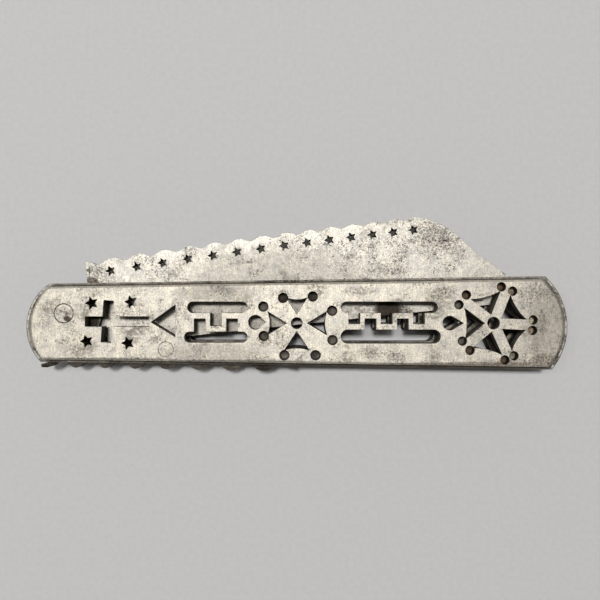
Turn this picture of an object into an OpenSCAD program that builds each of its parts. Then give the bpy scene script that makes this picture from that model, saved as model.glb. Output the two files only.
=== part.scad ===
// Pierced steel pocket knife with a scalloped blade and a rocking lock lever.
// X runs along the handle from the pivot end to the butt, Y across it towards the
// side where the blade comes out, Z through its thickness.
// The origin lies on the rear scale's outer face, under the four-petal cross.

/* [Handle] */
// Length of the liners, end to end
handle_l = 120; // [118:0.5:126]
// Width of the liners at the pivot end
head_w = 17.25; // [17:0.05:19]
// Width of the liners at the butt
butt_w = 20.85; // [20:0.05:24]
// Radius of the liners' round end at the pivot
liner_head_r = 11.3; // [10.5:0.1:14]
// Radius of the liners' round end at the butt
liner_butt_r = 15; // [13:0.1:20]
// How far the round ends' centres lie below the centre line
end_drop = 0.8; // [0:0.1:1.5]
// Thickness of each liner
liner_t = 1; // [0.6:0.1:1.6]
// Thickness of each outer scale
scale_t = 2; // [1.4:0.1:3]
// Bevel round each scale's outer face
scale_bevel = 0.45; // [0.2:0.05:0.6]
// Liner showing beside a scale along its two long edges
side_ledge = 0.75; // [0.5:0.05:1]
// Liner showing beyond a scale at its two ends
end_ledge = 1.75; // [0.8:0.05:2]
// Radius of a scale's round end at the pivot
scale_head_r = 11.5; // [10:0.1:14]
// Radius of a scale's round end at the butt
scale_butt_r = 13.5; // [12:0.1:18]

/* [Pins] */
// Pivot's distance from the handle's end
pivot_in = 9.2; // [8.6:0.1:10]
// Pivot's height over the centre line
pivot_rise = 2.15; // [1.6:0.05:2.4]
// Pivot pin's shank diameter
pivot_d = 2.6; // [2:0.1:3]
// Pivot pin's riveted head diameter
pivot_head_d = 4.1; // [3.4:0.1:4.6]
// Lever pin's distance from the pivot, along the handle
lever_pin_in = 22.25; // [21:0.05:23]
// Lever pin's depth below the centre line
lever_pin_drop = 5.7; // [5.5:0.05:6]
// Lever pin's shank diameter
lever_pin_d = 2; // [1.6:0.1:2.2]
// Lever pin's riveted head diameter
lever_head_d = 3.3; // [2.8:0.1:3.6]
// Shank diameter of the two pins through the back spacer
spacer_pin_d = 1.6; // [1.2:0.1:1.8]
// Head diameter of the two pins through the back spacer
spacer_head_d = 2.2; // [2:0.1:2.6]
// Radial clearance of a pin where it is riveted fast
fast_fit = 0.02; // [0.01:0.01:0.04]
// Radial clearance of a pin where a piece turns on it
running_fit = 0.05; // [0.02:0.01:0.08]

/* [Blade] */
// Blade thickness at its tang
blade_t = 3; // [2:0.1:4]
// Play between the blade and each liner
side_play = 0.1; // [0.05:0.05:0.2]
// Slope of the cutting edge to the handle when closed, in degrees
blade_tilt = 5.93; // [5.5:0.01:6.3]
// How far the blade opens, in degrees
open_angle = 170; // [169:0.5:171]
// Cutting edge's depth below the pivot, square to the edge
edge_drop = 7.95; // [7.5:0.05:8.1]
// Thickness of the cutting edge
edge_t = 0.25; // [0.15:0.05:0.5]
// Height over the pivot from which the blade thins towards its edge
grind_top = 13.5; // [12.5:0.1:14]
// Tip's distance from the butt
tip_in = 4.7; // [4.2:0.1:7]
// Heel face's distance from the pivot, along the edge
heel_x = 4.4; // [4.3:0.05:4.6]
// Height of the back over the pivot at the heel
back_heel = 11; // [10.6:0.1:11.2]
// Height of the back over the pivot at the last scallop
back_clip = 13.4; // [12:0.1:15]
// Rise of the back's curve over a straight line
back_bow = 0.43; // [0:0.01:0.8]
// Length of the clipped point, from the last scallop to the tip
clip_l = 26.8; // [24:0.1:30]
// Scallops along the back
scallops = 14; // [10:1:16]
// Last scallop's length as a share of the first one's
scallop_taper = 0.75; // [0.6:0.05:1]
// Depth of the first scallop
scallop_heel = 0.95; // [0.4:0.05:1.2]
// Depth of the last scallop
scallop_clip = 0.62; // [0.3:0.05:1]
// Radius of the stars through the blade
blade_star_r = 1.18; // [0.8:0.02:1.24]
// Depth of the stars below the scallops' crests
star_in = 2.85; // [2.6:0.05:3.4]
// Radius of the tang's round cam
tang_r = 6.05; // [5.9:0.05:6.1]
// Distance from the pivot to the tang's flat and to the floor of its notch
tang_flat = 5.45; // [5.3:0.05:5.5]
// Radius of the round choil between the tang and the edge
choil_r = 2.9; // [2.6:0.1:3]

/* [Lock lever] */
// Width of the lever's locking tooth
tooth_w = 3; // [2.4:0.1:3.2]
// Height of the tooth over the lever's nose
tooth_h = 0.8; // [0.6:0.05:1]
// Gap between the tooth and the tang's cam, with the lever at rest
nose_gap = 0.1; // [0.06:0.01:0.15]
// Gap between the tooth and the sides of the tang's notch
notch_gap = 0.1; // [0.08:0.01:0.2]
// Gap between the open blade's heel and the lever's end face
stop_gap = 0.15; // [0.12:0.01:0.2]
// Lever's tail, measured from its pin
tail_l = 28.8; // [27:0.1:30]
// Radius of the lever's boss round its pin
boss_r = 1.8; // [1.6:0.05:1.9]
// Length of the beak that runs on under the blade's heel
beak_l = 1.35; // [0.8:0.05:1.6]
// Scalloped notches along the lever's back
notches = 8; // [6:1:10]
// Last notch's length as a share of the first one's
notch_growth = 1.2; // [1:0.05:1.6]
// How far the lever's crests stand out under the handle at the nose
crest_nose = 1.35; // [1.2:0.05:1.6]
// How far the lever's crests stand out under the handle near the tail
crest_tail = 1.45; // [0.5:0.05:1.6]
// How far the lever's last crest stands out, at the end of its tail
crest_end = 0.85; // [0.4:0.05:1.2]
// Depth of the lever's notches inside the liners' edge
notch_in = 0.2; // [0:0.05:0.3]

/* [Spring and spacer] */
// Thickness of the leaf spring at its root
spring_t = 0.7; // [0.5:0.05:0.8]
// Thickness of the leaf spring at its tip
spring_tip_t = 0.45; // [0.3:0.05:0.5]
// Leaf spring's length over the lever's tail
spring_reach = 14; // [10:0.5:16]
// Length of the spring's root in the spacer's slot
spring_root = 5; // [3:0.5:7]
// Spring's upper face, below the centre line
spring_drop = 6.6; // [6.55:0.05:6.9]
// Gap between the spring and the lever's tail
spring_gap = 0.1; // [0.05:0.01:0.15]
// Gap between the lever's tail and the back spacer
tail_gap = 0.7; // [0.4:0.05:1]
// Inner edge of the back spacer's narrow stretches, below the centre line
spacer_drop = 7.8; // [7.75:0.05:8]
// Inner edge of the spacer's pad round the spring's root, below the centre line
pad_drop = 5.6; // [5.2:0.05:5.8]
// Length of the spacer's pad
pad_l = 30; // [24:0.5:31]
// Depth of the spacer's block at the butt
block_l = 6.2; // [5.6:0.1:6.6]
// Top of the spacer's block over the centre line
block_top = 2; // [0:0.1:2.4]

/* [Piercings] */
// Radius of the four stars round the long cross
cross_star_r = 1.5; // [1:0.05:1.6]
// Inner radius of a star as a share of its outer one
star_ratio = 0.52; // [0.38:0.01:0.55]
// Long cross's crossing, measured from the pivot along the handle
cross_in = 9.5; // [9.3:0.1:10]
// Width of the long cross's arms
cross_bar = 2.25; // [1.6:0.05:2.4]
// Reach of the long cross's side arms from its crossing
cross_arm = 4.6; // [4:0.1:4.8]
// Reach of the long cross's head from its crossing
cross_head = 4.9; // [4:0.1:5]
// Reach of the long cross's foot from its crossing
cross_foot = 9.1; // [8.4:0.1:9.2]
// Lean of the long cross's side arms, in degrees
cross_lean = 4; // [0:0.5:6]
// Length of the triangle after the long cross
triangle_l = 5.4; // [4.6:0.1:5.6]
// Width of the triangle's open side
triangle_w = 7.2; // [6:0.1:7.4]
// Steel left between the cross's foot and the triangle
foot_land = 0.35; // [0.3:0.05:0.6]
// Steel left between the triangle and the first window
window_land = 1.9; // [1.4:0.1:2.4]
// Steel left between the four-petal cross and the second window
petal_land = 0.65; // [0.4:0.05:1.2]
// Upper slots' height in the windows
slot_h = 2.5; // [2:0.1:2.6]
// Upper slots' lower edge, over the centre line
slot_rise = 2.2; // [2:0.05:2.4]
// Steel left where the Greek key runs past a notch
key_bar = 1.2; // [1:0.05:1.35]
// Width of the Greek key's notches
key_notch = 2.55; // [2.2:0.05:2.7]
// Step from one notch of the Greek key to the next
key_step = 3.52; // [3.45:0.01:3.6]
// Radius of the teardrops
tear_r = 1.6; // [1.2:0.05:1.7]
// Radius of the hole in the middle of the four-petal cross
petal_hole_r = 1.28; // [1:0.02:1.35]
// Radius of the hole in the middle of the five-arm star
arm_hole_r = 1.37; // [1:0.01:1.4]
// Radius of the dimples round the four-petal cross
petal_dimple_r = 1.13; // [0.9:0.01:1.15]
// Radius of the dimples round the five-arm star
arm_dimple_r = 1.03; // [0.8:0.01:1.05]
// Depth of the dimples' drill points in the liners
dimple_cone = 0.35; // [0.2:0.05:0.5]
// Five-arm star's centre, measured from the butt
arm_in = 17.1; // [16.8:0.1:18]
// Width of the five-arm star's bars
arm_w = 2.3; // [2:0.05:2.5]
// Outer radius of the five-arm star's petals
arm_petal_r = 7.25; // [6.6:0.05:7.3]

/* [Hidden] */
$fn = 64;

steel = [0.81, 0.79, 0.73];
blade_steel = [0.85, 0.82, 0.76];
dark_steel = [0.55, 0.53, 0.49];

// Longer than anything that is cut, and the overlap that lets a cut run through a face
reach = 2 * handle_l;
through = 1;

half_l = handle_l / 2;
gap_t = blade_t + 2 * side_play;
rear_liner_z = scale_t;
gap_z = rear_liner_z + liner_t;
blade_z = gap_z + side_play;
front_liner_z = gap_z + gap_t;
front_scale_z = front_liner_z + liner_t;
stack_t = front_scale_z + scale_t;

pivot = [-half_l + pivot_in, pivot_rise];
lever_pin_at = [pivot.x + lever_pin_in, -lever_pin_drop];

// Places that the lever, the spring and the spacer share
tail_x = lever_pin_at.x + tail_l;
spacer_x = tail_x + tail_gap;
pad_in = 3.5;
pad_x = spacer_x + pad_in;
spring_pin_share = 0.55;
spring_pin_sink = 0.1;
butt_pin_share = 0.62;
butt_pin_drop = 4.5;
spring_pin_at = [pad_x + pad_l * spring_pin_share, -(pad_drop + edge_y(0)) / 2 - spring_pin_sink];
butt_pin_at = [half_l - block_l * butt_pin_share, -butt_pin_drop];

// Half the liners' width at a place along the handle
function edge_y(x) = head_w / 2 + (butt_w - head_w) / 2 * (x + half_l) / handle_l;

function polar(r, a) = [r * cos(a), r * sin(a)];

// Points of a curve that starts along p1 - p0 and ends along p2 - p1
function curve(p0, p1, p2, steps) =
    [for (i = [1:steps]) let (t = i / steps) (1 - t) * (1 - t) * p0 + 2 * t * (1 - t) * p1 + t * t * p2];

// Place of mark k in a row of n steps whose length changes evenly by the ratio last
function march(k, n, span, last) =
    let (first = 2 * span / (n * (1 + last)))
    first * (k + (last - 1) * k * (k - 1) / (2 * (n - 1)));

// Cutters, each running through the whole stack

cut_z = -through;
cut_h = stack_t + 2 * through;

module cut_outline(points) {
    translate([0, 0, cut_z]) linear_extrude(cut_h) polygon(points);
}

module cut_box(x0, x1, y0, y1) {
    translate([x0, y0, cut_z]) cube([x1 - x0, y1 - y0, cut_h]);
}

module cut_round(r) {
    translate([0, 0, cut_z]) cylinder(h = cut_h, r = r);
}

star_points = 5;

module star(r) {
    cut_outline([for (i = [0:2 * star_points - 1])
                     polar(i % 2 == 0 ? r : r * star_ratio, 180 + 180 / star_points * i)]);
}

module slot(x0, x1, y0, y1) {
    r = (y1 - y0) / 2;
    cut_box(x0 + r, x1 - r, y0, y1);
    for (x = [x0 + r, x1 - r]) translate([x, y0 + r, 0]) cut_round(r);
}

// A drop with its round end at the origin and its point at [d, 0]
// The point's corners lie just inside the round end, so that its sides cross the circle
tear_seat = 0.97;

module teardrop(r, d) {
    a = acos(r / d);
    cut_round(r);
    cut_outline([[d, 0], polar(r * tear_seat, a), [0, 0], polar(r * tear_seat, -a)]);
}

// A petal along +X: its point at r_in, corners at [r_out, +-half_w], its outer side hollow
module petal(r_in, r_out, half_w, hollow) {
    r = (half_w * half_w + hollow * hollow) / (2 * hollow);
    difference() {
        cut_outline([[r_in, 0], [r_out, -half_w], [r_out, half_w]]);
        translate([r_out - hollow + r, 0, -through]) cut_round(r);
        translate([r_out - hollow + r, 0, through]) cut_round(r);
    }
}

// Long cross lying on its side, its four stars and the triangle at its foot

cross_rise = 0.35;
cross_at = [pivot.x + cross_in, cross_rise];
cross_stars = [[-3.4, 4], [-4.5, -4.3], [5.2, 4.3], [4.5, -4.7]];
triangle_x = cross_at.x + cross_foot + foot_land;
triangle_rise = 0.2;
triangle_skew = 0.3;

module long_cross() {
    translate(cross_at) {
        cut_box(-cross_head, cross_foot, -cross_bar / 2, cross_bar / 2);
        rotate(-cross_lean) cut_box(-cross_bar / 2, cross_bar / 2, -cross_arm, cross_arm);
        for (at = cross_stars) translate(at) star(cross_star_r);
    }
    translate([triangle_x, triangle_rise, 0])
        cut_outline([[0, 0], [triangle_l, triangle_w / 2 + triangle_skew],
                     [triangle_l, -triangle_w / 2 + triangle_skew]]);
}

// Four-petal cross: each row is [direction, inner point, outer side, half width]

petals = [[0, 2.2, 6.65, 2.7], [90, 1.85, 5.65, 2.4], [180, 2.1, 6.4, 2.6], [270, 1.7, 6, 2.85]];
petal_hollow = 0.5;
petal_dimples = [[-3, 5.5], [3.5, 5.8], [-7.3, 3.6], [-7.2, -2.8],
                 [-2.7, -7], [4.1, -7], [7.7, 2.7], [7.8, -3.7]];
// A teardrop's distance from its motif's centre, and the length from its round end's centre to its point
petal_tear = [9, 2.3];
tear_rise = 0.2;
petal_reach = max([for (at = petal_dimples) at.x]) + petal_dimple_r;

module petal_cross() {
    cut_round(petal_hole_r);
    for (p = petals) rotate(p[0]) petal(p[1], p[2], p[3], petal_hollow);
    translate([-petal_tear.x, tear_rise, 0]) teardrop(tear_r, petal_tear.y);
}

// Five-arm star: each row is [bar's direction, its dimples' spread, their distance]

arm_at = [half_l - arm_in, 0];
arms = [[-3, 7.6, 8.65], [68.5, 9.3, 8.1], [143, 9, 8.55], [219.5, 9.6, 7.85], [294.5, 7.4, 8.4]];
arm_hollow = 0.45;
arm_tear = [9.55, 3.1];

module five_arm_star() {
    translate(arm_at) {
        cut_round(arm_hole_r);
        translate([-arm_tear.x, 0, 0]) teardrop(tear_r, arm_tear.y);
        for (i = [0:len(arms) - 1]) {
            here = arms[i][0];
            next = arms[(i + 1) % len(arms)][0] + (i == len(arms) - 1 ? 360 : 0);
            half_gap = (next - here) / 2;
            spread = half_gap - asin(arm_w / 2 / arm_petal_r);
            rotate(here + half_gap)
                petal(arm_w / 2 / sin(half_gap), arm_petal_r * cos(spread),
                      arm_petal_r * sin(spread), arm_hollow);
        }
    }
}

// Windows: an upper and a lower slot with a Greek key between them

low_slot_1 = [-4.25, -1.85];
low_slot_2 = [-4.45, -1.4];
key_notches = [3, 5];
key_shift = 0.9;
upper_inset = 0.65;
tear_gaps = [0.1, 0.35];
window_1 = [triangle_x + triangle_l + window_land, -petal_tear.x - tear_r - tear_gaps[0]];
window_2 = [petal_reach + petal_land, arm_at.x - arm_tear.x - tear_r - tear_gaps[1]];

// The key's notches open upwards where up is true for the first and every second one.
// Its middle lies shift before the window's, and the upper slot is shorter by inset at its ends.
module window(ends, inset, low, notch_count, up, shift) {
    slot(ends[0] + inset[0], ends[1] - inset[1], slot_rise, slot_rise + slot_h);
    slot(ends[0], ends[1], low[0], low[1]);
    first = (ends[0] + ends[1] - (notch_count - 1) * key_step) / 2 - shift;
    notch_h = slot_rise - low[1] - key_bar;
    for (i = [0:notch_count - 1]) {
        x = first + i * key_step;
        y = (i % 2 == 0) == up ? slot_rise - notch_h : low[1] - slot_h / 2;
        cut_box(x - key_notch / 2, x + key_notch / 2, y, y + notch_h + slot_h / 2);
    }
}

module piercings() {
    long_cross();
    window(window_1, [upper_inset, 0], low_slot_1, key_notches[0], false, 0);
    window(window_2, [0, upper_inset], low_slot_2, key_notches[1], true, key_shift);
    petal_cross();
    five_arm_star();
}

// Places the children at every dimple of one radius
module at_petal_dimples() {
    for (at = petal_dimples) translate(at) children();
}

module at_arm_dimples() {
    translate(arm_at) for (arm = arms, side = [-1, 1])
        translate(polar(arm[2], arm[0] + side * arm[1])) children();
}

// Handle plates

// A plate's length between x0 and x1; the children are its discs at the pivot and the butt
module rounded_ends(x0, x1, head_r, butt_r, h) {
    translate([x0 + head_r, -end_drop, 0]) children(0);
    translate([x1 - butt_r, -end_drop, 0]) children(1);
    translate([x0 + head_r, -handle_l / 2, 0]) cube([x1 - butt_r - x0 - head_r, handle_l, h]);
}

module liner_blank(h) {
    intersection() {
        rounded_ends(-half_l, half_l, liner_head_r, liner_butt_r, h) {
            cylinder(h = h, r = liner_head_r);
            cylinder(h = h, r = liner_butt_r);
        }
        linear_extrude(h) polygon([for (end = [[-1, -1], [1, -1], [1, 1], [-1, 1]])
                                       [end.x * half_l, end.y * edge_y(end.x * half_l)]]);
    }
}

module bevelled_disc(r) {
    cylinder(h = scale_t - scale_bevel, r = r);
    translate([0, 0, scale_t - scale_bevel])
        cylinder(h = scale_bevel, r1 = r, r2 = r - scale_bevel);
}

// All that lies inside a scale's upper long edge, with the bevel of its outer face
module inside_edge(x0) {
    rotate_to_edge = atan((butt_w - head_w) / 2 / handle_l);
    translate([x0, edge_y(x0) - side_ledge, 0]) rotate(rotate_to_edge)
        rotate([90, 0, 90]) translate([0, 0, -through]) linear_extrude(reach)
            polygon([[-2 * butt_w, 0], [0, 0], [0, scale_t - scale_bevel],
                     [-scale_bevel, scale_t], [-2 * butt_w, scale_t]]);
}

// Scale with its outer face up, before it is pierced
module scale_blank() {
    x0 = -half_l + end_ledge;
    intersection() {
        rounded_ends(x0, -x0, scale_head_r, scale_butt_r, scale_t) {
            bevelled_disc(scale_head_r);
            bevelled_disc(scale_butt_r);
        }
        inside_edge(x0);
        mirror([0, 1, 0]) inside_edge(x0);
    }
}

// Pins: a shank through the whole stack, with a conical riveted head in each scale

module pin(at, shank_d, head_d, fit) {
    r = shank_d / 2 + fit;
    head_r = head_d / 2 + fit;
    cone = head_r - r;
    translate([at.x, at.y, 0]) {
        cylinder(h = stack_t, r = r);
        cylinder(h = cone, r1 = head_r, r2 = r);
        translate([0, 0, stack_t - cone]) cylinder(h = cone, r1 = r, r2 = head_r);
    }
}

module all_pins(fit) {
    pin(pivot, pivot_d, pivot_head_d, fit);
    pin(lever_pin_at, lever_pin_d, lever_head_d, fit);
    pin(spring_pin_at, spacer_pin_d, spacer_head_d, fit);
    pin(butt_pin_at, spacer_pin_d, spacer_head_d, fit);
}

// Pieces of the handle

module pierced_scale(face_up) {
    difference() {
        if (face_up) translate([0, 0, front_scale_z]) scale_blank();
        else translate([0, 0, scale_t]) mirror([0, 0, 1]) scale_blank();
        piercings();
        all_pins(fast_fit);
        at_petal_dimples() cut_round(petal_dimple_r);
        at_arm_dimples() cut_round(arm_dimple_r);
    }
}

// The drill points of the dimples' bit mark the liner's outer face, which lies at z
module pierced_liner(z, outer_z, outward) {
    difference() {
        translate([0, 0, z]) liner_blank(liner_t);
        piercings();
        all_pins(fast_fit);
        translate([0, 0, outer_z]) mirror([0, 0, outward ? 1 : 0]) {
            at_petal_dimples() cylinder(h = dimple_cone, r1 = petal_dimple_r, r2 = 0);
            at_arm_dimples() cylinder(h = dimple_cone, r1 = arm_dimple_r, r2 = 0);
        }
    }
}

module rear_scale() {
    color(steel) pierced_scale(false);
}

module rear_liner() {
    color(dark_steel) pierced_liner(rear_liner_z, rear_liner_z, false);
}

module front_liner() {
    color(dark_steel) pierced_liner(front_liner_z, front_scale_z, true);
}

module front_scale() {
    color(steel) pierced_scale(true);
}

// Blade, drawn open to the right with the pivot at its origin and its edge along X

tip_x = (half_l - tip_in - pivot.x - edge_drop * sin(blade_tilt)) / cos(blade_tilt);
clip_x = tip_x - clip_l;
choil_rise = 0.75;
choil_at = [heel_x, -edge_drop + choil_rise];
scallop_steps = 12;
scallop_power = 2.4;
star_shift = 0.6;
tang_margin = 1;

function scallop_x(k) = heel_x + march(k, scallops, clip_x - heel_x, scallop_taper);
function back_y(x) = let (t = (x - heel_x) / (clip_x - heel_x))
    back_heel + (back_clip - back_heel) * t + 4 * back_bow * t * (1 - t);

// Wide crests and narrow valleys, from the heel to the last crest
back = [for (k = [0:scallops - 1], j = [0:scallop_steps - 1])
            let (u = j / scallop_steps,
                 x = scallop_x(k) + u * (scallop_x(k + 1) - scallop_x(k)),
                 depth = scallop_heel + (scallop_clip - scallop_heel) * k / scallops)
            [x, back_y(x) - depth * pow(sin(180 * u), scallop_power)]];

// The clip rounds over from the last crest to the shoulder, then runs hollow to the tip
clip_steps = 16;
clip_slope = -1.24;
round_share = 0.225;
shoulder_share = 0.42;
run_share = 0.48;
shoulder_rise = 3.2;
clip_crest = [clip_x, back_y(clip_x)];
shoulder = [clip_x + clip_l * shoulder_share, (back_clip - edge_drop) / 2 + shoulder_rise];
round_over = [clip_x + clip_l * round_share,
              shoulder.y - clip_slope * clip_l * (shoulder_share - round_share)];
run_out = [clip_x + clip_l * run_share,
           shoulder.y + clip_slope * clip_l * (run_share - shoulder_share)];
tip = [tip_x, -edge_drop];
clip = concat(curve(clip_crest, round_over, shoulder, clip_steps),
              curve(shoulder, run_out, tip, clip_steps));

// Blade with its tang, at full thickness
module blade_blank() {
    linear_extrude(blade_t)
        polygon(concat(back, [clip_crest], clip,
                       [[choil_at.x, -edge_drop], [choil_at.x, through - tang_flat],
                        [0, through - tang_flat], [0, 0], [heel_x, 0]]));
    cylinder(h = blade_t, r = tang_r);
}

// Choil, closed flat, open notch and stars
module blade_cuts() {
    translate(choil_at) cut_round(choil_r);
    // flat that rests over the tooth when the blade is closed
    rotate(-90 - blade_tilt) cut_box(tang_flat, 2 * tang_r, -tang_r / 2, tang_r / 2);
    // notch that takes the tooth when the blade is open
    rotate(-90 - blade_tilt - open_angle)
        cut_box(tang_flat, 2 * tang_r, -tooth_w / 2 - notch_gap, tooth_w / 2 + notch_gap);
    for (k = [1:scallops])
        translate([scallop_x(k) - star_shift, back_y(scallop_x(k)) - star_in, 0])
            rotate(-blade_tilt / 2) star(blade_star_r);
}

// Full thickness round the tang, and one flat taper from the back to the edge beyond it
module blade_thickness() {
    cylinder(h = blade_t, r = tang_r + tang_margin);
    thin = (blade_t - edge_t) / 2;
    rotate([90, 0, 90]) linear_extrude(reach)
        polygon([[-edge_drop, thin], [grind_top, 0], [back_clip + reach, 0],
                 [back_clip + reach, blade_t], [grind_top, blade_t], [-edge_drop, blade_t - thin]]);
}

module blade() {
    color(blade_steel)
        translate([pivot.x, pivot.y, blade_z]) rotate(blade_tilt) difference() {
            intersection() {
                blade_blank();
                blade_thickness();
            }
            blade_cuts();
            cut_round(pivot_d / 2 + running_fit);
        }
}

// Lock lever

nose_y = pivot.y - tang_r - nose_gap;
nose_top = nose_y - tooth_h;
tail_y = -spring_drop - spring_t - spring_gap;
open_tilt = open_angle + blade_tilt;
heel_low_y = pivot.y + heel_x * sin(open_tilt) + back_heel * cos(open_tilt);

// Lever's upper side: depth of its waist under the pin and its rise at the boss, then how far
// from the pin the waist starts, the boss ends and the tail thins, then the slope by the tooth
waist_sink = 0.55;
waist_y = -lever_pin_drop - waist_sink;
boss_rise = 0.6;
waist_run = 4.3;
boss_run = 5.5;
tail_run = 9;
foot_run = 0.5;
neck_run = 1.6;

// The lever's end face lies along the open blade's heel, a stop_gap away from it
function stop_x(y) = pivot.x + (heel_x - stop_gap) / cos(open_tilt) - (y - pivot.y) * tan(open_tilt);

// Beak's upper side, as a share of the way from the open blade's heel down to the lever's
// crests, and the easing of its corner
beak_share = 0.497;
beak_ease = [0.25, 0.2];
crest_y = -edge_y(stop_x(heel_low_y)) - crest_nose;
beak_y = heel_low_y + (crest_y - heel_low_y) * beak_share;
lever_steps = 10;
crest_power = [3, 1];

beak_root = stop_x(beak_y);
beak_tip = beak_root - beak_l;

// Narrow crests and wide hollows at the beak's root, wide crests near the tail and a low last one
function notch_x(k) = beak_root + march(k, notches, tail_x - beak_root, notch_growth);
function crest_out(s) = s > notches - 0.5 ? crest_end
                                          : crest_nose + (crest_tail - crest_nose) * s / notches;
function crest_shape(s) = crest_power[0] + (crest_power[1] - crest_power[0]) * s / notches;
lever_back = [for (k = [0:notches - 1], j = [0:lever_steps - (k < notches - 1 ? 1 : 0)])
                  let (u = j / lever_steps,
                       x = notch_x(k) + u * (notch_x(k + 1) - notch_x(k)),
                       rise = pow(abs(cos(180 * u)), crest_shape(k + u)))
                  [x, -edge_y(x) + notch_in - (crest_out(k + u) + notch_in) * rise]];

beak = [[beak_tip, beak_y], [beak_tip, -edge_y(beak_tip) - crest_nose + beak_ease.y],
        [beak_tip + beak_ease.x, -edge_y(beak_tip) - crest_nose]];
tooth_x = [pivot.x - tooth_w / 2, pivot.x + tooth_w / 2];
lever_top = [[tail_x, tail_y], [lever_pin_at.x + tail_run, tail_y],
             [lever_pin_at.x + boss_run, waist_y + boss_rise], [lever_pin_at.x, waist_y + boss_rise],
             [lever_pin_at.x - waist_run, waist_y], [tooth_x[1] + neck_run, waist_y],
             [tooth_x[1] + foot_run, nose_top], [tooth_x[1], nose_top],
             [tooth_x[1], nose_y], [tooth_x[0], nose_y],
             [tooth_x[0], nose_top], [stop_x(nose_top), nose_top], [beak_root, beak_y]];

module lever_blank() {
    linear_extrude(blade_t) polygon(concat(beak, lever_back, lever_top));
    translate(lever_pin_at) cylinder(h = blade_t, r = boss_r);
}

module lock_lever() {
    color(dark_steel) translate([0, 0, blade_z]) difference() {
        lever_blank();
        translate(lever_pin_at) cut_round(lever_pin_d / 2 + running_fit);
    }
}

// Back spacer and the leaf spring held in its slot

tip_lift = 0.03;
spring_tip_y = tail_y + tip_lift;

// Inner side of the spacer's block: distance before the block, depth below the centre line
block_slope = [[0, 2], [1.6, 5], [3.8, spacer_drop]];
pad_slope = 2;
spacer_inside = concat([[half_l - block_l, block_top]],
                       [for (at = block_slope) [half_l - block_l - at.x, -at.y]],
                       [[pad_x + pad_l + pad_slope, -spacer_drop], [pad_x + pad_l, -pad_drop],
                        [pad_x, -pad_drop], [pad_x, -spacer_drop], [spacer_x, -spacer_drop]]);

module leaf_spring() {
    color(steel) translate([0, 0, blade_z]) linear_extrude(blade_t)
        polygon([[tail_x - spring_reach, spring_tip_y], [pad_x, -spring_drop - spring_t],
                 [pad_x + spring_root, -spring_drop - spring_t], [pad_x + spring_root, -spring_drop],
                 [pad_x, -spring_drop], [tail_x - spring_reach, spring_tip_y + spring_tip_t]]);
}

module back_spacer() {
    color(dark_steel) difference() {
        intersection() {
            translate([0, 0, gap_z]) linear_extrude(gap_t)
                polygon(concat([[spacer_x, -reach], [half_l + through, -reach],
                                [half_l + through, block_top]], spacer_inside));
            translate([0, 0, gap_z]) liner_blank(gap_t);
        }
        translate([pad_x - through, -spring_drop - spring_t - fast_fit, gap_z - through])
            cube([spring_root + through + fast_fit, spring_t + 2 * fast_fit, gap_t + 2 * through]);
        all_pins(fast_fit);
    }
}

module pivot_pin() {
    color(steel) pin(pivot, pivot_d, pivot_head_d, 0);
}

module lever_pin() {
    color(steel) pin(lever_pin_at, lever_pin_d, lever_head_d, 0);
}

module spring_pin() {
    color(steel) pin(spring_pin_at, spacer_pin_d, spacer_head_d, 0);
}

module butt_pin() {
    color(steel) pin(butt_pin_at, spacer_pin_d, spacer_head_d, 0);
}

rear_scale();
rear_liner();
front_liner();
front_scale();
blade();
lock_lever();
leaf_spring();
back_spacer();
pivot_pin();
lever_pin();
spring_pin();
butt_pin();
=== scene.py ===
import math

import bpy
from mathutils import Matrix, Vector

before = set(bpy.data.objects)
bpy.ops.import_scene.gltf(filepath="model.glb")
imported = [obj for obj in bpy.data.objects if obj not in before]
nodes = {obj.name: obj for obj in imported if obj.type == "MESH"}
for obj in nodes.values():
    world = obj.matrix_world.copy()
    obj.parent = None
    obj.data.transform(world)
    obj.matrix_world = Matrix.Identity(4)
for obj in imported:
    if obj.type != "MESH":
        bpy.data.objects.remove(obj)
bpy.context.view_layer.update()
scene = bpy.context.scene
mm = 0.001
print("knife: frame loaded,", len(nodes), "nodes")

# Camera, straight above the closed knife
camera = {
    "above": (0.7, 5.05),  # millimetres
    "height": 122.5,
    "lens": 31.2,
    "sensor": 36.0,
    "clip": (0.002, 20.0),  # metres
}

cameraData = bpy.data.cameras.new("photoCamera")
cameraData.lens = camera["lens"]
cameraData.sensor_width = camera["sensor"]
cameraData.clip_start, cameraData.clip_end = camera["clip"]
cameraObject = bpy.data.objects.new("photoCamera", cameraData)
cameraObject.location = Vector((*camera["above"], camera["height"])) * mm
scene.collection.objects.link(cameraObject)
scene.camera = cameraObject
print("knife: camera set")


# Gives a node's input a plain value, or links a socket to it
def feed(tree, target, value):
    if isinstance(value, bpy.types.NodeSocket):
        tree.links.new(value, target)
    else:
        target.default_value = value


def addNode(tree, kind, inputs=None, **settings):
    node = tree.nodes.new(kind)
    for name, value in settings.items():
        setattr(node, name, value)
    for name, value in (inputs or {}).items():
        feed(tree, node.inputs[name], value)
    return node


def calc(tree, operation, a, b=0.0, c=0.0, clamp=False):
    return addNode(tree, "ShaderNodeMath", {0: a, 1: b, 2: c},
                   operation=operation, use_clamp=clamp).outputs[0]


def times(tree, a, b):
    return calc(tree, "MULTIPLY", a, b)


# What a mask leaves over
def rest(tree, mask, clamp=False):
    return calc(tree, "SUBTRACT", 1.0, mask, clamp=clamp)


def calcVector(tree, operation, a, b):
    return addNode(tree, "ShaderNodeVectorMath", {0: a, 1: b}, operation=operation).outputs[0]


def scaled(tree, vector, factor):
    return addNode(tree, "ShaderNodeVectorMath", {0: vector, "Scale": factor}, operation="SCALE").outputs[0]


def length(tree, vector):
    return addNode(tree, "ShaderNodeVectorMath", {0: vector}, operation="LENGTH").outputs["Value"]


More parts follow.
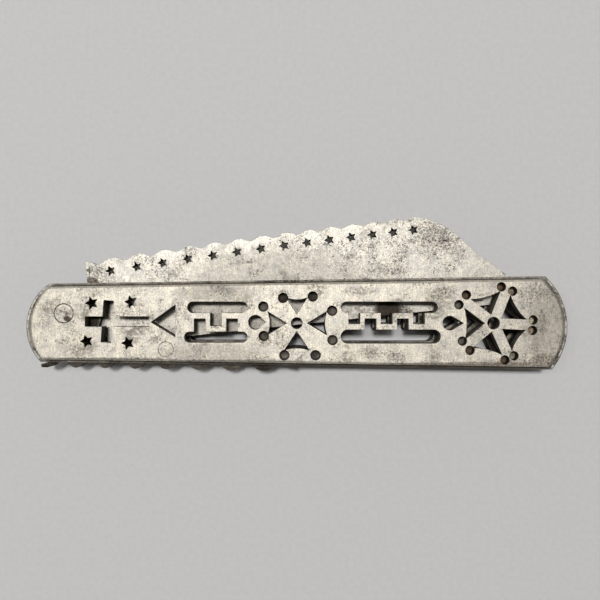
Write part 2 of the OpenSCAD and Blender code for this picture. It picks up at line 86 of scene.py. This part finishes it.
# 0 below low, 1 above high and a smooth rise between
def smooth(tree, value, low, high):
    return addNode(tree, "ShaderNodeMapRange", {"Value": value, "From Min": low, "From Max": high},
                   interpolation_type="SMOOTHSTEP").outputs["Result"]


# Colour b over colour a. In the node's RGBA form its sockets 0, 6 and 7 are the factor, A and B.
def mixColour(tree, factor, a, b):
    return addNode(tree, "ShaderNodeMix", {0: factor, 6: a, 7: b}, data_type="RGBA").outputs[2]


def noise(tree, place, scale, detail, rough):
    return addNode(tree, "ShaderNodeTexNoise", {"Vector": place, "Scale": scale, "Detail": detail,
                                                "Roughness": rough}).outputs["Fac"]


# A shader node group with the named inputs and outputs
def newGroup(name, inputs, outputs):
    tree = bpy.data.node_groups.new(name, "ShaderNodeTree")
    for label, kind, value in inputs:
        socket = tree.interface.new_socket(label, in_out="INPUT", socket_type=kind)
        if value is not None:
            socket.default_value = value
    for label, kind in outputs:
        tree.interface.new_socket(label, in_out="OUTPUT", socket_type=kind)
    return tree, tree.nodes.new("NodeGroupInput").outputs, tree.nodes.new("NodeGroupOutput").inputs


def useGroup(tree, group, values):
    node = tree.nodes.new("ShaderNodeGroup")
    node.node_tree = group
    for name, value in values.items():
        feed(tree, node.inputs[name], value)
    return node.outputs


floatKind, vectorKind = "NodeSocketFloat", "NodeSocketVector"

# Worn steel, with its places in millimetres. A noise is (scale, detail, roughness), and a band is where
# a smooth rise starts and ends. Lines are drawn out along Y. Smudges come from the slow noise, with a
# rim made ragged by the mottle. Specks are the peaks of two noises and pits are round Voronoi cells
# (scale, radius), all of them thicker where the region noise is high.
wear = {
    "linePull": (1.0, 0.07, 0.3), "lineDetail": (5, 0.6),
    "cloud": (0.45, 6, 0.68), "mottle": (1.3, 6, 0.68), "grain": (2.7, 5, 0.85),
    "slow": (0.16, 4, 0.6), "smudgeRise": 0.15, "smudgeRim": (0.36, 0.56),
    "region": (0.21, 4, 0.6), "regionBand": (0.36, 0.66),
    "speckLevel": 0.645, "speckGain": 0.15,
    "coarse": (1.7, 6, 0.8), "coarseShift": (31.0, 17.0, 5.0), "coarseRise": 0.07,
    "fine": (3.4, 4, 0.8), "fineShift": (7.0, 43.0, 9.0), "fineRise": 0.09, "fineShare": 0.8,
    "pits": ((1.5, 0.24), (2.8, 0.27)), "pitShare": 0.6, "pitFade": 0.08, "pitWobble": 0.3, "pitCore": 0.5,
    "speckHeight": -0.9, "lineHeight": 0.35, "grainHeight": 0.5,
}


def wornSteelGroup():
    tree, given, out = newGroup(
        "wornSteel",
        [("Place", vectorKind, None), ("Line Scale", floatKind, 7.0), ("Speck Share", floatKind, 0.5),
         ("Smudge Level", floatKind, 0.56)],
        [("Lines", floatKind), ("Cloud", floatKind), ("Mottle", floatKind), ("Grain", floatKind),
         ("Smudge", floatKind), ("Specks", floatKind), ("Height", floatKind)])
    place = given["Place"]
    lines = noise(tree, calcVector(tree, "MULTIPLY", place, wear["linePull"]), given["Line Scale"],
                  *wear["lineDetail"])
    cloud, mottle, grain, slow, region = [noise(tree, place, *wear[name])
                                          for name in ("cloud", "mottle", "grain", "slow", "region")]
    smudgeTop = calc(tree, "ADD", given["Smudge Level"], wear["smudgeRise"])
    smudge = times(tree, smooth(tree, slow, given["Smudge Level"], smudgeTop),
                   smooth(tree, mottle, *wear["smudgeRim"]))
    share = times(tree, smooth(tree, region, *wear["regionBand"]), given["Speck Share"])
    level = calc(tree, "MULTIPLY_ADD", share, -wear["speckGain"], wear["speckLevel"])
    peaks = {}
    for name in ("coarse", "fine"):
        shifted = calcVector(tree, "ADD", place, wear[name + "Shift"])
        top = calc(tree, "ADD", level, wear[name + "Rise"])
        peaks[name] = smooth(tree, noise(tree, shifted, *wear[name]), level, top)
    specks = calc(tree, "MAXIMUM", peaks["coarse"], times(tree, peaks["fine"], wear["fineShare"]))
    for scale, radius in wear["pits"]:
        cells = addNode(tree, "ShaderNodeTexVoronoi", {"Vector": place, "Scale": scale}).outputs
        cellTone = addNode(tree, "ShaderNodeSeparateColor", {"Color": cells["Color"]}).outputs[0]
        kept = smooth(tree, times(tree, share, wear["pitShare"]), cellTone,
                      calc(tree, "ADD", cellTone, wear["pitFade"]))
        edge = calc(tree, "MULTIPLY_ADD", mottle, wear["pitWobble"], radius - 0.5 * wear["pitWobble"])
        dot = rest(tree, smooth(tree, cells["Distance"], times(tree, edge, wear["pitCore"]), edge))
        specks = calc(tree, "MAXIMUM", specks, times(tree, dot, kept))
    height = times(tree, grain, wear["grainHeight"])
    height = calc(tree, "MULTIPLY_ADD", lines, wear["lineHeight"], height)
    height = calc(tree, "MULTIPLY_ADD", specks, wear["speckHeight"], height)
    for name, value in (("Lines", lines), ("Cloud", cloud), ("Mottle", mottle), ("Grain", grain),
                        ("Smudge", smudge), ("Specks", specks), ("Height", height)):
        tree.links.new(value, out[name])
    return tree


# Edge: how far the rounded normal leans from the true one. Crevice: what nearby faces hide.
# Wall: 1 on upright faces, 0 on bevels and level ones.
edgeWear = {
    "roundSamples": 6, "leanBand": (0.01, 0.16),
    "hideSamples": 8, "levelBand": (0.2, 0.66),
}


def edgeGroup():
    tree, given, out = newGroup(
        "edgesAndCrevices", [("Radius", floatKind, 0.00014), ("Reach", floatKind, 0.0012)],
        [("Edge", floatKind), ("Crevice", floatKind), ("Wall", floatKind), ("Normal", vectorKind)])
    rounded = addNode(tree, "ShaderNodeBevel", {"Radius": given["Radius"]},
                      samples=edgeWear["roundSamples"]).outputs[0]
    flat = addNode(tree, "ShaderNodeNewGeometry").outputs["True Normal"]
    agree = addNode(tree, "ShaderNodeVectorMath", {0: rounded, 1: flat}, operation="DOT_PRODUCT")
    edge = smooth(tree, rest(tree, agree.outputs["Value"]), *edgeWear["leanBand"])
    around = addNode(tree, "ShaderNodeAmbientOcclusion", {"Distance": given["Reach"]},
                     samples=edgeWear["hideSamples"])
    crevice = rest(tree, around.outputs["AO"], clamp=True)
    upward = addNode(tree, "ShaderNodeSeparateXYZ", {"Vector": flat}).outputs["Z"]
    wall = rest(tree, smooth(tree, calc(tree, "ABSOLUTE", upward), *edgeWear["levelBand"]))
    for name, value in (("Edge", edge), ("Crevice", crevice), ("Wall", wall), ("Normal", rounded)):
        tree.links.new(value, out[name])
    return tree


# From a centre to the place, seen from above
def flatOffset(tree, given):
    return calcVector(tree, "MULTIPLY", calcVector(tree, "SUBTRACT", given["Place"], given["Centre"]),
                      (1.0, 1.0, 0.0))


# A ring of the given radius round a centre, broken by noise
ringLine = {"core": 0.3, "gapNoise": (0.9, 3, 0.55), "gapFade": 0.1}


def ringGroup():
    tree, given, out = newGroup(
        "ring", [("Place", vectorKind, None), ("Centre", vectorKind, None), ("Radius", floatKind, 2.0),
                 ("Width", floatKind, 0.1), ("Breaks", floatKind, 0.45)], [("Mask", floatKind)])
    away = length(tree, flatOffset(tree, given))
    off = calc(tree, "ABSOLUTE", calc(tree, "SUBTRACT", away, given["Radius"]))
    line = rest(tree, smooth(tree, off, times(tree, given["Width"], ringLine["core"]), given["Width"]))
    gaps = smooth(tree, noise(tree, given["Place"], *ringLine["gapNoise"]),
                  calc(tree, "SUBTRACT", given["Breaks"], ringLine["gapFade"]),
                  calc(tree, "ADD", given["Breaks"], ringLine["gapFade"]))
    tree.links.new(times(tree, line, gaps), out["Mask"])
    return tree


# A stain: 1 inside an ellipse, fading over its rim. A ragged one breaks up into spots.
stainEdge = {
    "rimNoise": (1.5, 8, 0.82), "rimReach": 2.0, "fadeBand": (0.6, 1.1),
    "spotNoise": (2.2, 6, 0.82), "spotBand": (0.42, 0.60), "spotShare": 0.4,
}


def stainGroup():
    tree, given, out = newGroup(
        "stain", [("Place", vectorKind, None), ("Centre", vectorKind, None),
                  ("Size", vectorKind, (1.0, 1.0, 1.0)), ("Ragged", floatKind, 0.6)], [("Mask", floatKind)])
    away = length(tree, calcVector(tree, "DIVIDE", flatOffset(tree, given), given["Size"]))
    swing = calc(tree, "SUBTRACT", noise(tree, given["Place"], *stainEdge["rimNoise"]), 0.5)  # about 0
    away = calc(tree, "MULTIPLY_ADD", times(tree, swing, given["Ragged"]), stainEdge["rimReach"], away)
    inside = rest(tree, smooth(tree, away, *stainEdge["fadeBand"]))
    spots = smooth(tree, noise(tree, given["Place"], *stainEdge["spotNoise"]), *stainEdge["spotBand"])
    broken = calc(tree, "MULTIPLY", given["Ragged"], stainEdge["spotShare"], clamp=True)
    kept = calc(tree, "MULTIPLY_ADD", broken, calc(tree, "SUBTRACT", spots, 1.0), 1.0)
    tree.links.new(times(tree, inside, kept), out["Mask"])
    return tree


wornSteel, edges, ring, stain = wornSteelGroup(), edgeGroup(), ringGroup(), stainGroup()
print("knife: shared patterns ready")


def stainMask(tree, place, centre, size, ragged, strength):
    mask = useGroup(tree, stain, {"Place": place, "Centre": (*centre, 0.0), "Size": (*size, 1.0),
                                  "Ragged": ragged})["Mask"]
    return times(tree, mask, strength)


def ringMask(tree, place, centre, radius, width, breaks, strength):
    mask = useGroup(tree, ring, {"Place": place, "Centre": (*centre, 0.0), "Radius": radius,
                                 "Width": width, "Breaks": breaks})["Mask"]
    return times(tree, mask, strength)


# One steel. Colours are linear. stains are (centre, size, ragged, colour, strength) and rings are
# (centre, radius, width, breaks, strength), all in millimetres. Corners and upright walls get painted
# shade, partly grime, and edges a painted highlight. marks are stains over that shade, a few of them
# painted highlights, and rims are rings of painted highlight, a glint on the worn rims, over it at the
# ends of the knife. Neither lies on an upright face.
def makeSteel(name, finish):
    material = bpy.data.materials.new(name)
    material.use_nodes = True
    tree = material.node_tree
    tree.nodes.clear()
    place = scaled(tree, addNode(tree, "ShaderNodeTexCoord").outputs["Object"], 1 / mm)
    worn = useGroup(tree, wornSteel, {"Place": place, "Line Scale": finish["lineScale"],
                                      "Speck Share": finish["speckShare"],
                                      "Smudge Level": finish["smudgeLevel"]})
    rim = useGroup(tree, edges, {"Radius": finish["edgeRadius"] * mm, "Reach": finish["creviceReach"] * mm})
    level = rest(tree, rim["Wall"])
    along = addNode(tree, "ShaderNodeSeparateXYZ", {"Vector": place}).outputs["X"]
    ends = smooth(tree, calc(tree, "ABSOLUTE", along), *finish["endBand"])

    # Bare steel
    warmth = smooth(tree, worn["Cloud"], *finish["warmBand"])
    colour = mixColour(tree, warmth, finish["cool"], finish["warm"])
    darkestTone = 1.0 - 0.5 * (finish["grainDepth"] + finish["cloudDepth"])
    tone = calc(tree, "MULTIPLY_ADD", smooth(tree, worn["Cloud"], *finish["cloudBand"]),
                finish["cloudDepth"], darkestTone)
    tone = calc(tree, "MULTIPLY_ADD", smooth(tree, worn["Grain"], *finish["grainBand"]),
                finish["grainDepth"], tone)
    colour = scaled(tree, colour, tone)
    fileLines = times(tree, smooth(tree, worn["Lines"], *finish["lineBand"]), finish["lineDepth"])
    colour = mixColour(tree, fileLines, colour, finish["line"])
    # Painted highlight: edges, where the rounded normal leans, take the highlight colour, more at the
    # knife's ends
    highlightShare = times(tree, calc(tree, "MULTIPLY_ADD", ends, finish["endHighlight"], finish["edgeHighlight"]),
                  smooth(tree, worn["Mottle"], *finish["highlightBand"]))
    colour = mixColour(tree, times(tree, rim["Edge"], highlightShare), colour, finish["highlightColour"])
    colour = mixColour(tree, times(tree, worn["Smudge"], finish["smudgeDepth"]), colour, finish["smudge"])

    # Stains, specks and rings, then painted shade, partly grime, in the corners and on upright walls
    dirtAndShade = 0.0
    for centre, size, ragged, stainColour, strength in finish["stains"]:
        mask = stainMask(tree, place, centre, size, ragged, strength)
        mottle = smooth(tree, worn["Mottle"], *finish["stainBand"])
        colour = mixColour(tree, mask, colour, mixColour(tree, mottle, finish["dark"], stainColour))
        dirtAndShade = calc(tree, "MAXIMUM", dirtAndShade, mask)
    colour = mixColour(tree, times(tree, worn["Specks"], finish["speckDepth"]), colour, finish["dark"])
    for headRing in finish["rings"]:
        colour = mixColour(tree, ringMask(tree, place, *headRing), colour, finish["dark"])
    # Painted shade: corners that nearby faces hide, and upright walls, darken towards the shade colour
    crevice = times(tree, smooth(tree, rim["Crevice"], *finish["creviceBand"]), finish["creviceDepth"])
    crevice = calc(tree, "MAXIMUM", crevice, times(tree, rim["Wall"], finish["wallDepth"]))
    colour = mixColour(tree, crevice, colour, finish["grimeAndShade"])
    for centre, size, ragged, markColour, strength in finish["marks"]:
        mask = times(tree, stainMask(tree, place, centre, size, ragged, strength), level)
        mottle = smooth(tree, worn["Mottle"], *finish["markBand"])
        colour = mixColour(tree, mask, colour, mixColour(tree, mottle, finish["dark"], markColour))
    # Painted highlight: a broken glint along the worn rims at the ends
    for endRim in finish["rims"]:
        mask = times(tree, times(tree, ringMask(tree, place, *endRim), ends), level)
        colour = mixColour(tree, mask, colour, finish["highlightColour"])

    # Stains, specks and the painted shade are rougher than steel and less metallic, which darkens the shade
    # further
    dirtAndShade = calc(tree, "MAXIMUM", dirtAndShade,
                calc(tree, "MAXIMUM", crevice, times(tree, worn["Specks"], finish["speckDirt"])))
    smoothest = finish["roughness"] - 0.5 * finish["mottleRoughness"]
    roughness = calc(tree, "MULTIPLY_ADD", worn["Mottle"], finish["mottleRoughness"], smoothest)
    roughness = calc(tree, "MULTIPLY_ADD", calc(tree, "MAXIMUM", dirtAndShade, worn["Smudge"]),
                     finish["dirtAndShadeRoughness"], roughness)
    bump = addNode(tree, "ShaderNodeBump", {"Strength": finish["bump"], "Height": worn["Height"],
                                            "Distance": finish["bumpHeight"] * mm, "Normal": rim["Normal"]})
    shader = addNode(tree, "ShaderNodeBsdfPrincipled", {
        "Base Color": colour,
        "Metallic": calc(tree, "MULTIPLY_ADD", dirtAndShade, -finish["dirtAndShadeMetalLoss"], 1.0, clamp=True),
        "Roughness": roughness,
        "Specular IOR Level": finish["specular"],
        "Normal": bump.outputs[0]})
    addNode(tree, "ShaderNodeOutputMaterial", {"Surface": shader.outputs[0]})
    return material


# What all the steels start from. Each piece's dictionary says where it differs.
plainSteel = {
    "cool": (0.65, 0.615, 0.55, 1), "warm": (0.76, 0.70, 0.59, 1), "line": (0.43, 0.395, 0.34, 1),
    # the painted highlight colour, used on edges and rims
    "highlightColour": (0.82, 0.79, 0.72, 1), "smudge": (0.27, 0.25, 0.215, 1), "dark": (0.040, 0.032, 0.024, 1),
    # painted shade in corners and on upright walls, partly grime
    "grimeAndShade": (0.030, 0.022, 0.016, 1),
    "warmBand": (0.34, 0.66), "cloudBand": (0.3, 0.7), "cloudDepth": 0.14,
    "grainBand": (0.25, 0.75), "grainDepth": 0.7,
    "lineScale": 7.0, "lineBand": (0.42, 0.66), "lineDepth": 0.4,
    "speckShare": 0.8, "speckDepth": 0.75, "speckDirt": 0.7,
    "smudgeLevel": 0.54, "smudgeDepth": 0.5,
    "edgeRadius": 0.14, "edgeHighlight": 0.5, "endHighlight": 0.0, "highlightBand": (0.3, 0.55),
    "endBand": (52.0, 57.0),  # from the knife's middle
    "creviceReach": 3.0, "creviceBand": (0.35, 0.7), "creviceDepth": 0.95, "wallDepth": 0.75,
    "stainBand": (0.3, 0.6), "markBand": (0.35, 0.6),
    "roughness": 0.64, "mottleRoughness": 0.16, "dirtAndShadeRoughness": 0.22, "dirtAndShadeMetalLoss": 0.7,
    "specular": 0.15, "bump": 0.5, "bumpHeight": 0.03,
    "stains": [], "marks": [], "rings": [], "rims": [],
}


# A pin's place seen from above, in millimetres: the middle of its mesh
def pinPlace(pin):
    points = [vertex.co / mm for vertex in nodes[pin].data.vertices]
    return tuple((min(point[axis] for point in points) + max(point[axis] for point in points)) / 2
                 for axis in (0, 1))


# Outer plates: smudged towards the butt, with rings round the rivet heads
headRings = [
    (pinPlace("pivot_pin"), 2.07, 0.19, 0.37, 0.9),
    (pinPlace("lever_pin"), 1.66, 0.14, 0.47, 0.7),
    (pinPlace("spring_pin"), 1.11, 0.07, 0.52, 0.2),
    (pinPlace("butt_pin"), 1.11, 0.07, 0.52, 0.2),
]
rust, soot, dust = (0.18, 0.13, 0.09, 1), (0.12, 0.10, 0.08, 1), (0.42, 0.38, 0.32, 1)
scaleSteel = dict(plainSteel, rings=headRings, stains=[
    ((55.5, 0.0), (6.5, 11.0), 0.9, dust, 0.55),
    ((-17.5, 6.6), (10.0, 2.2), 1.4, dust, 0.45),
    ((-19.0, -6.4), (13.0, 2.4), 1.5, dust, 0.45),
    ((54.0, -8.0), (4.4, 1.5), 2.2, rust, 0.85),
    ((46.0, -8.7), (7.0, 0.9), 2.3, rust, 0.8),
    ((52.3, 7.0), (3.4, 2.0), 2.6, soot, 0.6),
    ((53.6, 0.0), (1.0, 2.6), 2.6, soot, 0.6),
    ((32.5, 7.2), (2.2, 1.0), 2.5, rust, 0.8),
    ((30.5, -7.6), (1.6, 0.9), 2.4, soot, 0.7),
    ((21.8, -7.4), (1.8, 1.4), 2.4, soot, 0.7),
    ((15.9, -6.5), (2.8, 1.4), 2.7, rust, 0.6),
    ((13.5, 7.0), (3.4, 1.1), 2.7, soot, 0.6),
    ((-7.0, -3.7), (1.8, 1.4), 2.5, rust, 0.85),
    ((-16.2, 7.2), (2.8, 0.9), 2.8, soot, 0.5),
    ((-31.0, -3.5), (1.3, 0.9), 2.3, soot, 0.9),
    ((-26.5, 3.6), (1.0, 2.2), 2.8, soot, 0.5),
    ((-47.7, -5.9), (3.2, 1.6), 2.7, rust, 0.75),
    ((-54.8, 1.0), (1.6, 2.8), 2.7, soot, 0.5),
    ((38.0, -8.9), (21.0, 0.5), 1.4, rust, 0.8),  # along the lower edge
    ((-12.0, -8.3), (17.0, 0.4), 1.4, soot, 0.7),
    ((-40.0, -7.8), (15.0, 0.4), 1.4, soot, 0.7),
])

# Liners: dark bottoms in the dimples of the petal cross, rust and grey in those round the star, three
# of them lightened as painted highlights, painted shade along the lower edge, and a worn rim with a
# painted glint at the two ends
rustBrown, paleHighlight, greyBrownAndHighlight = (0.14, 0.080, 0.044, 1), (0.80, 0.70, 0.54, 1), (0.50, 0.40, 0.29, 1)
greyGreen, coldGrey = (0.34, 0.33, 0.25, 1), (0.12, 0.115, 0.085, 1)
# The pale dimples are painted highlights, one pale, two on a grey-brown floor
starDimples = [
    ((44.6, 7.7), rustBrown), ((47.2, 7.2), greyBrownAndHighlight), ((51.4, 0.6), paleHighlight),
    ((51.5, -1.7), greyBrownAndHighlight), ((47.4, -7.3), greyGreen), ((45.3, -8.0), rustBrown),
    ((38.0, -5.7), rustBrown), ((35.8, -4.1), coldGrey), ((35.3, 4.0), coldGrey),
    ((37.0, 6.1), rustBrown),
]
linerSteel = dict(
    plainSteel, cool=(0.21, 0.195, 0.165, 1), warm=(0.30, 0.27, 0.225, 1), line=(0.13, 0.115, 0.09, 1),
    smudge=(0.09, 0.08, 0.065, 1), smudgeDepth=0.8, smudgeLevel=0.46, speckShare=0.9,
    edgeRadius=0.3, edgeHighlight=0.6, endHighlight=0.4,
    creviceReach=0.9, creviceDepth=0.95, creviceBand=(0.12, 0.42), wallDepth=0.92, roughness=0.60,
    stains=[
        ((0.2, 0.0), (9.4, 8.4), 0.1, (0.018, 0.011, 0.006, 1), 0.98),  # round the petal cross
        ((36.0, 10.6), (24.0, 2.0), 1.0, (0.62, 0.57, 0.49, 1), 0.6),  # paler above the star
        # Painted shade: the lower edge, turned away from the light, is darkened
        ((0.0, -10.6), (75.0, 2.6), 0.25, (0.060, 0.045, 0.032, 1), 0.85),  # dark along the lower edge
    ],
    marks=[(at, (1.3, 1.3), 0.3, colour, 0.92) for at, colour in starDimples],
    rims=[((45.0, -0.8), 14.68, 0.22, 0.51, 0.8), ((-48.7, -0.8), 11.0, 0.22, 0.52, 0.7)])

# Blade: file lines, heavier pitting towards the clip, dark rust on the tang and in the second window
tangRust, paleRust, olive = (0.028, 0.018, 0.012, 1), (0.26, 0.20, 0.15, 1), (0.24, 0.24, 0.17, 1)
bladeSteel = dict(
    plainSteel, cool=(0.68, 0.65, 0.59, 1), warm=(0.80, 0.75, 0.65, 1), lineDepth=0.42, lineScale=8.0,
    smudgeLevel=0.58, edgeHighlight=0.4, creviceDepth=0.12, roughness=0.60,
    stains=[
        ((-50.6, 2.0), (8.2, 6.2), 0.3, tangRust, 0.98),  # the tang, seen through the long cross
        ((-46.5, 0.6), (3.0, 3.6), 0.3, tangRust, 0.98),
        ((-44.8, 4.4), (3.5, 2.8), 0.5, tangRust, 0.98),
        ((20.7, 3.0), (3.6, 3.2), 0.12, (0.030, 0.015, 0.010, 1), 0.98),  # in the second window
        ((24.2, 2.5), (2.4, 1.4), 2.2, (0.060, 0.035, 0.022, 1), 0.95),
        ((-4.0, 11.0), (24.0, 7.0), 1.2, dust, 0.35),  # along the handle's upper edge
        ((-8.0, 1.5), (21.0, 6.0), 0.5, (0.42, 0.36, 0.31, 1), 0.4),  # inside the handle
        ((-46.2, 9.3), (1.7, 1.2), 0.8, (0.10, 0.075, 0.05, 1), 0.95),  # the heel
        ((-44.6, 10.8), (2.8, 2.5), 2.6, (0.12, 0.09, 0.06, 1), 0.85),
        ((-46.55, 11.7), (0.3, 1.0), 0.3, olive, 0.8),  # the faint mark in line with the stars
        ((-46.9, 11.75), (0.5, 0.3), 0.3, olive, 0.8),
        ((31.4, 19.0), (5.2, 4.2), 2.5, (0.12, 0.09, 0.07, 1), 0.85),  # the clip
        ((33.2, 18.4), (0.5, 0.3), 0.6, (0.06, 0.04, 0.03, 1), 0.9),
        ((21.3, 12.0), (4.0, 2.0), 2.8, paleRust, 0.6),  # spots between the handle and the stars
        ((12.1, 14.9), (1.8, 0.9), 2.8, paleRust, 0.55),
        ((-10.9, 13.6), (0.6, 0.3), 0.8, (0.18, 0.14, 0.10, 1), 0.75),
    ])

# Lever and spacer, dark and filed
leverSteel = dict(
    plainSteel, cool=(0.060, 0.053, 0.042, 1), warm=(0.10, 0.086, 0.068, 1), line=(0.040, 0.034, 0.027, 1),
    smudge=(0.022, 0.019, 0.015, 1), highlightColour=(0.50, 0.46, 0.38, 1), speckShare=0.9, edgeHighlight=0.6,
    roughness=0.60)

# Leaf spring, dark and dull
springSteel = dict(
    plainSteel, cool=(0.16, 0.155, 0.145, 1), warm=(0.22, 0.205, 0.18, 1), line=(0.11, 0.10, 0.09, 1),
    roughness=0.5)

# Pins: as the plates, with a dark spot on the pivot's head
pinSteel = dict(scaleSteel, lineDepth=0.25, wallDepth=0.9, stains=scaleSteel["stains"] + [
    ((-50.0, 1.0), (0.9, 0.7), 0.3, (0.065, 0.046, 0.030, 1), 0.95),
])

finishes = {
    "scaleSteel": (scaleSteel, ["rear_scale", "front_scale"]),
    "linerSteel": (linerSteel, ["rear_liner", "front_liner"]),
    "bladeSteel": (bladeSteel, ["blade"]),
    "leverSteel": (leverSteel, ["lock_lever", "back_spacer"]),
    "springSteel": (springSteel, ["leaf_spring"]),
    "pinSteel": (pinSteel, ["pivot_pin", "lever_pin", "spring_pin", "butt_pin"]),
}
for name, (finish, wearers) in finishes.items():
    material = makeSteel(name, finish)
    for wearer in wearers:
        slots = nodes[wearer].data.materials
        slots.clear()
        slots.append(material)
print("knife: steels ready")

# Floor, in metres. farGlow keeps the far floor, which the lamps don't reach, as pale as the near one.
floor = {
    "size": 12.0,
    "drop": 0.00002,
    "colour": (0.58, 0.575, 0.565, 1),
    "mark": (0.51, 0.505, 0.495, 1),
    "markNoise": (900.0, 3, 0.55),
    "markBand": (0.2, 0.8),
    "markShare": 0.5,
    "roughness": 0.9,
    "farBand": (0.1, 1.8),
    "farGlow": 0.44,
    "farColour": (1.0, 1.0, 0.985, 1),
}


def makeFloor():
    half = floor["size"] / 2
    mesh = bpy.data.meshes.new("floor")
    mesh.from_pydata([(-half, -half, 0), (half, -half, 0), (half, half, 0), (-half, half, 0)],
                     [], [(0, 1, 2, 3)])
    sheet = bpy.data.objects.new("floor", mesh)
    sheet.location.z = -floor["drop"]
    scene.collection.objects.link(sheet)
    material = bpy.data.materials.new("paleFloor")
    material.use_nodes = True
    tree = material.node_tree
    place = addNode(tree, "ShaderNodeTexCoord").outputs["Object"]
    marks = smooth(tree, noise(tree, place, *floor["markNoise"]), *floor["markBand"])
    ray = addNode(tree, "ShaderNodeLightPath").outputs
    seen = calc(tree, "MAXIMUM", ray["Is Camera Ray"],
                calc(tree, "MAXIMUM", ray["Is Glossy Ray"], ray["Is Transmission Ray"]))
    glow = times(tree, smooth(tree, length(tree, place), *floor["farBand"]), seen)
    surface = tree.nodes["Principled BSDF"].inputs
    feed(tree, surface["Base Color"],
         mixColour(tree, times(tree, marks, floor["markShare"]), floor["colour"], floor["mark"]))
    feed(tree, surface["Roughness"], floor["roughness"])
    feed(tree, surface["Emission Color"], floor["farColour"])
    feed(tree, surface["Emission Strength"], times(tree, glow, floor["farGlow"]))
    mesh.materials.append(material)


# Lamps, in metres and watts. Each is turned about X, so that it faces the floor at y 0.
lamps = {
    "key": {"at": (-0.09, 0.34, 1.45), "size": (0.18, 0.18), "power": 12.0},
    "broad": {"at": (-0.44, 0.34, 1.45), "size": (1.8, 0.18), "power": 8.8},
}


def makeLamp(name, lamp):
    light = bpy.data.lights.new(name, "AREA")
    light.shape = "RECTANGLE"
    light.size, light.size_y = lamp["size"]
    light.energy = lamp["power"]
    holder = bpy.data.objects.new(name, light)
    holder.location = lamp["at"]
    holder.rotation_euler = (-math.atan2(lamp["at"][1], lamp["at"][2]), 0.0, 0.0)
    scene.collection.objects.link(holder)


# World, bright at the horizon and dim overhead
sky = {
    "colour": (1.0, 1.0, 0.985, 1),
    "horizon": 0.5,
    "overhead": 0.07,
    "riseBand": (0.15, 0.6),
}


def makeSky():
    world = bpy.data.worlds.new("studio")
    scene.world = world
    world.use_nodes = True
    tree = world.node_tree
    upward = addNode(tree, "ShaderNodeSeparateXYZ",
                     {"Vector": addNode(tree, "ShaderNodeTexCoord").outputs["Generated"]}).outputs["Z"]
    level = calc(tree, "MULTIPLY_ADD", smooth(tree, upward, *sky["riseBand"]),
                 sky["overhead"] - sky["horizon"], sky["horizon"])
    background = tree.nodes["Background"].inputs
    feed(tree, background["Color"], sky["colour"])
    feed(tree, background["Strength"], level)


makeFloor()
for name, lamp in lamps.items():
    makeLamp(name, lamp)
makeSky()
scene.view_settings.view_transform = "Standard"
print("knife: floor and light ready")

print("knife: done")
